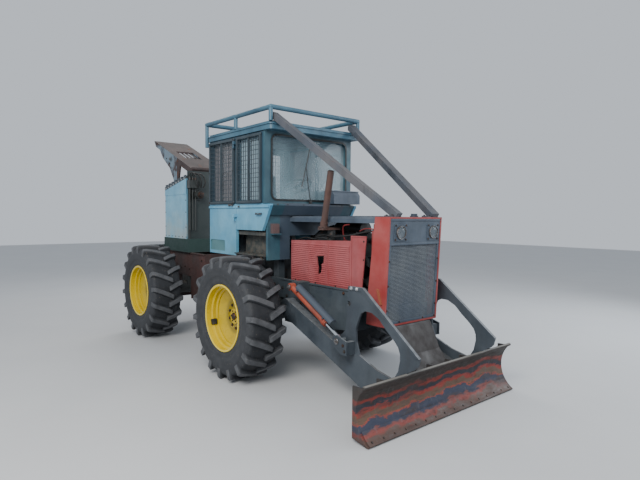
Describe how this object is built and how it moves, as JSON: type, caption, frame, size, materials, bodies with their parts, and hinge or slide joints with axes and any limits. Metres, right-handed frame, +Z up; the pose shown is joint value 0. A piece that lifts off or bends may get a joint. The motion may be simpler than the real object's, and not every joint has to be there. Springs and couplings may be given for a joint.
{
  "type": "articulated cable skidder",
  "caption": "Four-wheel forestry skidder steered by a centre hinge, with caged cab, front dozer blade on lifting arms, and a winch tower with an arch at the rear.",
  "frame": {"origin": "on the ground, under the middle of the machine's length and width", "axes": "+X forward towards the blade, +Y to the machine's left, +Z up"},
  "size_m": [6.79, 2.54, 3.3891],
  "materials": {
    "arch_rust": "brown rust over paint",
    "blade_paint": "streaked red, grey and rust",
    "cab_paint": "satin dark teal",
    "console_plastic": "matt black",
    "cylinder_black": "oily black",
    "cylinder_orange": "faded orange",
    "door_paint": "worn light blue",
    "drum_steel": "worn bare steel",
    "engine_iron": "oily dark grey",
    "floor_paint": "scuffed",
    "frame_paint": "worn dark blue-grey paint",
    "grille_paint": "worn blue-grey",
    "pipe_rust": "rusty",
    "red_paint": "faded red",
    "rim_yellow": "gloss yellow",
    "rod_chrome": "bright",
    "rust_steel": "worn paint with rust",
    "screen_steel": "satin",
    "seat_cloth": "worn black cloth",
    "tower_paint": "worn pale blue",
    "tyre_rubber": "dusty black",
    "window_glass": "clear, dusty"
  },
  "bodies": {
    "front_body": {"front_frame": "frame_paint", "front_axle": "frame_paint", "engine": "engine_iron", "bonnet": "grille_paint", "louvre_panels": "red_paint", "radiator_guard": "red_paint", "grille": "grille_paint", "cab_floor": "floor_paint", "cab_front_wall": "cab_paint", "cab_rear_wall": "cab_paint", "cab_sides": "door_paint", "cab_glass": "window_glass", "side_screens": "screen_steel", "roof": "cab_paint", "roof_guard": "cab_paint", "limb_risers": "frame_paint", "exhaust_pipe": "pipe_rust", "air_box": "grille_paint", "seat": "seat_cloth", "steering_console": "console_plastic"},
    "rear_body": {"rear_frame": "rust_steel", "rear_axle": "rust_steel", "tower": "tower_paint", "arch": "arch_rust"},
    "blade_body": {"blade": "blade_paint", "push_arms": "frame_paint"},
    "door_right_body": {"door_right": "door_paint", "door_glass_right": "window_glass", "door_screen_right": "screen_steel"},
    "door_left_body": {"door_left": "door_paint", "door_glass_left": "window_glass", "door_screen_left": "screen_steel"},
    "drum": {"winch_drum": "drum_steel"},
    "roller": {"fairlead_roller": "drum_steel"},
    "lift_barrel_right_body": {"lift_barrel_right": "cylinder_orange"},
    "lift_rod_right_body": {"lift_rod_right": "rod_chrome"},
    "steer_barrel_right_body": {"steer_barrel_right": "cylinder_black"},
    "steer_rod_right_body": {"steer_rod_right": "rod_chrome"},
    "wheel_front_right": {"tyre_front_right": "tyre_rubber", "rim_front_right": "rim_yellow"},
    "wheel_rear_right": {"tyre_rear_right": "tyre_rubber", "rim_rear_right": "rim_yellow"},
    "lift_barrel_left_body": {"lift_barrel_left": "cylinder_orange"},
    "lift_rod_left_body": {"lift_rod_left": "rod_chrome"},
    "steer_barrel_left_body": {"steer_barrel_left": "cylinder_black"},
    "steer_rod_left_body": {"steer_rod_left": "rod_chrome"},
    "wheel_front_left": {"tyre_front_left": "tyre_rubber", "rim_front_left": "rim_yellow"},
    "wheel_rear_left": {"tyre_rear_left": "tyre_rubber", "rim_rear_left": "rim_yellow"}
  },
  "joints": [
    {"name": "articulation", "type": "hinge", "parent": "front_body", "child": "rear_body", "pos_m": [-0.429, 0, 0.865], "axis": [0, 0, 1], "range_deg": [-40, 40]},
    {"name": "blade_lift", "type": "hinge", "parent": "front_body", "child": "blade_body", "pos_m": [1.355, 0, 0.85], "axis": [0, -1, 0], "range_deg": [-5, 28]},
    {"name": "door_right_swing", "type": "hinge", "parent": "front_body", "child": "door_right_body", "pos_m": [0.379, -0.76, 2.4], "axis": [0, 0, -1], "range_deg": [0, 95]},
    {"name": "door_left_swing", "type": "hinge", "parent": "front_body", "child": "door_left_body", "pos_m": [0.379, 0.76, 2.4], "axis": [0, 0, 1], "range_deg": [0, 95]},
    {"name": "winch_drum_spin", "type": "hinge", "parent": "rear_body", "child": "drum", "pos_m": [-2.135, 0, 1.95], "axis": [0, 1, 0], "continuous": true},
    {"name": "fairlead_roller_spin", "type": "hinge", "parent": "rear_body", "child": "roller", "pos_m": [-2.625, 0, 2.975], "axis": [0, 1, 0], "continuous": true},
    {"name": "lift_barrel_right_tilt", "type": "hinge", "parent": "front_body", "child": "lift_barrel_right_body", "pos_m": [1.575, -0.68, 1.135], "axis": [0, -1, 0], "range_deg": [-8, 34]},
    {"name": "lift_rod_right_slide", "type": "slide", "parent": "lift_barrel_right_body", "child": "lift_rod_right_body", "axis": [0.8839, 0, -0.4677], "range_m": [-0.17, 0.04]},
    {"name": "steer_barrel_right_swing", "type": "hinge", "parent": "front_body", "child": "steer_barrel_right_body", "pos_m": [0.271, -0.26, 0.865], "axis": [0, 0, 1], "range_deg": [-8, 8]},
    {"name": "steer_rod_right_slide", "type": "slide", "parent": "steer_barrel_right_body", "child": "steer_rod_right_body", "axis": [-0.9991, 0.0421, 0], "range_m": [-0.18, 0.18]},
    {"name": "wheel_front_right_spin", "type": "hinge", "parent": "front_body", "child": "wheel_front_right", "pos_m": [0.935, -1.035, 0.735], "axis": [0, 1, 0], "continuous": true},
    {"name": "wheel_rear_right_spin", "type": "hinge", "parent": "rear_body", "child": "wheel_rear_right", "pos_m": [-1.793, -1.035, 0.735], "axis": [0, 1, 0], "continuous": true},
    {"name": "lift_barrel_left_tilt", "type": "hinge", "parent": "front_body", "child": "lift_barrel_left_body", "pos_m": [1.575, 0.68, 1.135], "axis": [0, -1, 0], "range_deg": [-8, 34]},
    {"name": "lift_rod_left_slide", "type": "slide", "parent": "lift_barrel_left_body", "child": "lift_rod_left_body", "axis": [0.8839, 0, -0.4677], "range_m": [-0.17, 0.04]},
    {"name": "steer_barrel_left_swing", "type": "hinge", "parent": "front_body", "child": "steer_barrel_left_body", "pos_m": [0.271, 0.26, 0.865], "axis": [0, 0, 1], "range_deg": [-8, 8]},
    {"name": "steer_rod_left_slide", "type": "slide", "parent": "steer_barrel_left_body", "child": "steer_rod_left_body", "axis": [-0.9991, -0.0421, 0], "range_m": [-0.18, 0.18]},
    {"name": "wheel_front_left_spin", "type": "hinge", "parent": "front_body", "child": "wheel_front_left", "pos_m": [0.935, 1.035, 0.735], "axis": [0, 1, 0], "continuous": true},
    {"name": "wheel_rear_left_spin", "type": "hinge", "parent": "rear_body", "child": "wheel_rear_left", "pos_m": [-1.793, 1.035, 0.735], "axis": [0, 1, 0], "continuous": true}
  ],
  "couplings": [
    {"joint": "lift_barrel_right_tilt", "follows": "blade_lift", "ratio": 1.157},
    {"joint": "lift_rod_right_slide", "follows": "blade_lift", "m_per_rad": -0.331},
    {"joint": "steer_barrel_right_swing", "follows": "articulation", "ratio": 0.137},
    {"joint": "steer_rod_right_slide", "follows": "articulation", "m_per_rad": -0.2225},
    {"joint": "lift_barrel_left_tilt", "follows": "blade_lift", "ratio": 1.157},
    {"joint": "lift_rod_left_slide", "follows": "blade_lift", "m_per_rad": -0.331},
    {"joint": "steer_barrel_left_swing", "follows": "articulation", "ratio": 0.137},
    {"joint": "steer_rod_left_slide", "follows": "articulation", "m_per_rad": 0.2225}
  ]
}
